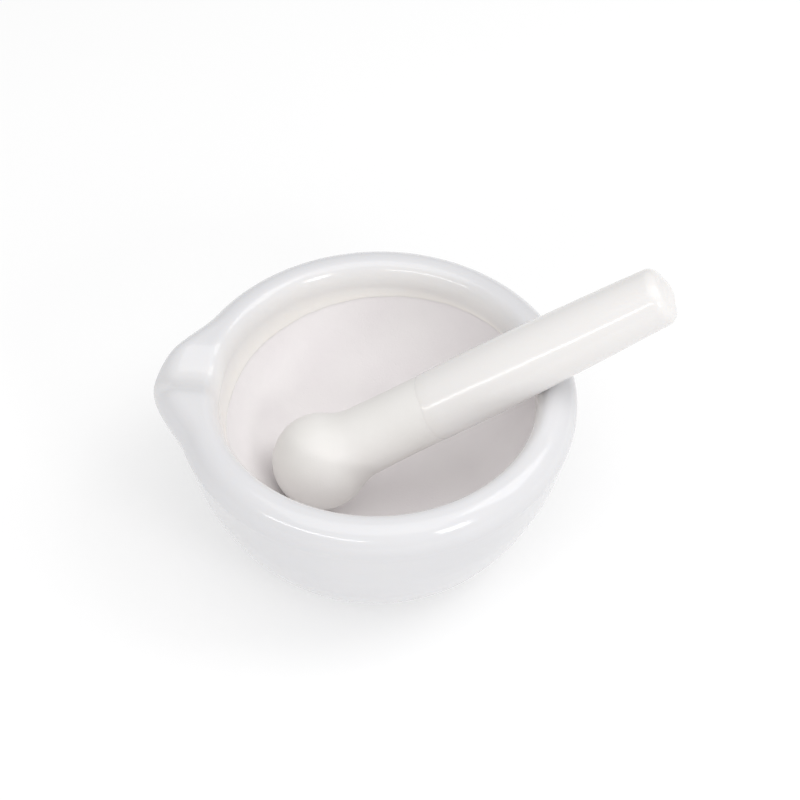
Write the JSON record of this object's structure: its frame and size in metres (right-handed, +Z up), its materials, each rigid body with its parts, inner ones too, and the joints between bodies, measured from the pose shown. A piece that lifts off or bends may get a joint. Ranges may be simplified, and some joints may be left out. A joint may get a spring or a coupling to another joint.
{
  "type": "mortar and pestle",
  "caption": "Thick-rimmed laboratory mortar with a pouring lip and a rough grinding hollow, and a ball-headed pestle with a smooth handle that leans in it.",
  "frame": {"origin": "centre of the mortar's flat foot, on the bowl's axis, on the surface that it stands on", "axes": "+Z up the bowl's axis; the pouring lip points along -X; the pestle's handle leans out over the rim towards +X, 14 degrees round towards +Y"},
  "size_m": [0.128, 0.1, 0.0824],
  "materials": {
    "mortar_porcelain": "clear glaze outside and over the rim, unglazed biscuit in the grinding hollow and under the foot",
    "pestle_porcelain": "clear glaze on the handle, unglazed biscuit on the head and neck"
  },
  "bodies": {
    "mortar": {"mortar": "mortar_porcelain"},
    "pestle": {"pestle": "pestle_porcelain"}
  },
  "joints": [
    {"name": "pestle_lift", "type": "slide", "parent": "mortar", "child": "pestle", "axis": [0, 0, 1], "range_m": [0, 0.07]}
  ]
}
